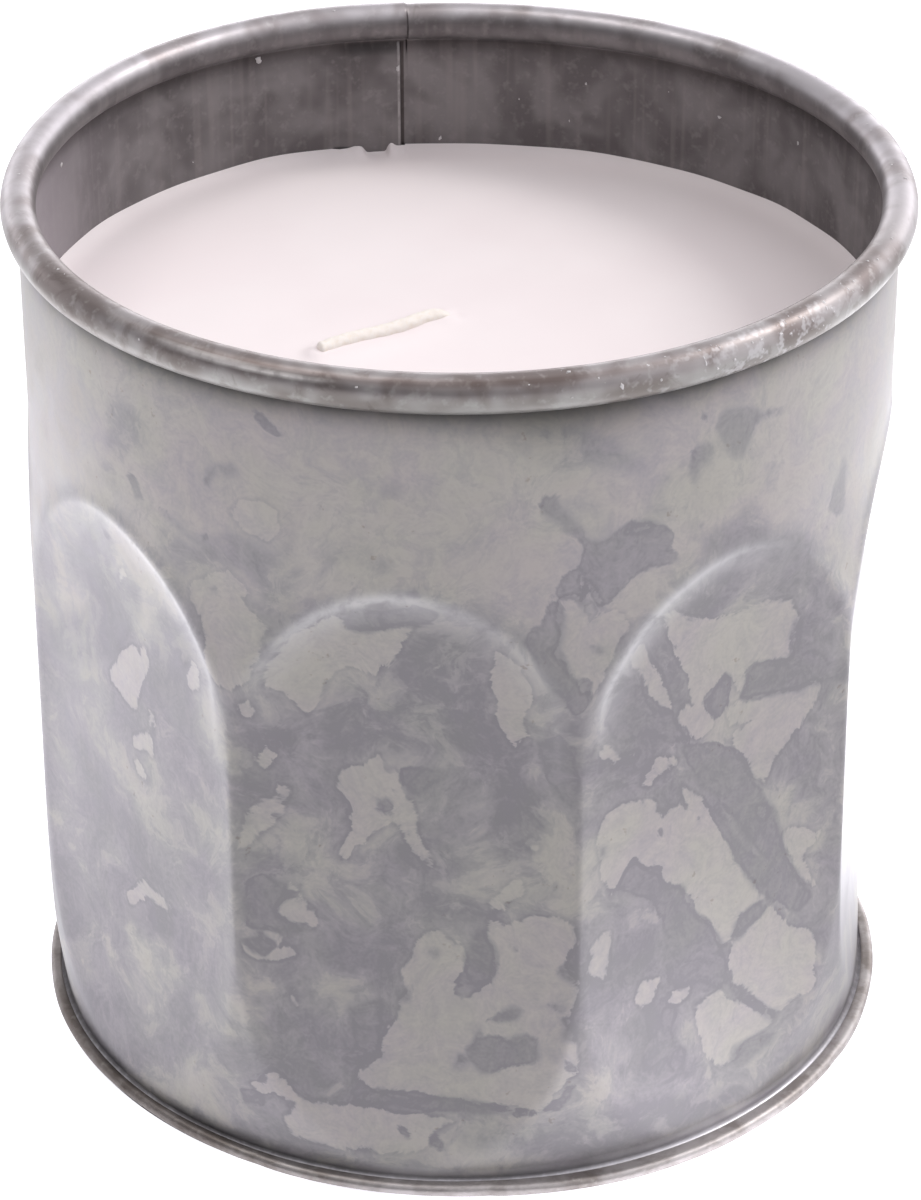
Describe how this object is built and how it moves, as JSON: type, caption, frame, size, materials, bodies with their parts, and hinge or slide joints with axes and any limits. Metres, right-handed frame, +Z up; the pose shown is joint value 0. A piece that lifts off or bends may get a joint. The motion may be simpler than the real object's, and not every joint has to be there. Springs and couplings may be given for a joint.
{
  "type": "candle pot",
  "caption": "Round sheet-metal pot with a curled rim bead, flat arch-topped panels pressed into the wall and a folded base ring, filled with wax around one bent-over wick.",
  "frame": {"origin": "centre of the pot's axis on the surface that it stands on", "axes": "+Z up along the pot's axis; the pictured front faces -Y, and +X is to its right"},
  "size_m": [0.09, 0.09, 0.092],
  "materials": {
    "zinc_wall": "matt weathered zinc coating with irregular grey patches",
    "zinc_base": "dull brown-grey zinc coating",
    "wax": "smooth poured wax, soft sheen",
    "wick_cotton": "waxed braided cotton",
    "tinplate": "bright pressed tinplate"
  },
  "bodies": {
    "root": {"wall": "zinc_wall", "base": "zinc_base", "wax": "wax", "wick": "wick_cotton", "wick_sustainer": "tinplate"}
  },
  "joints": []
}
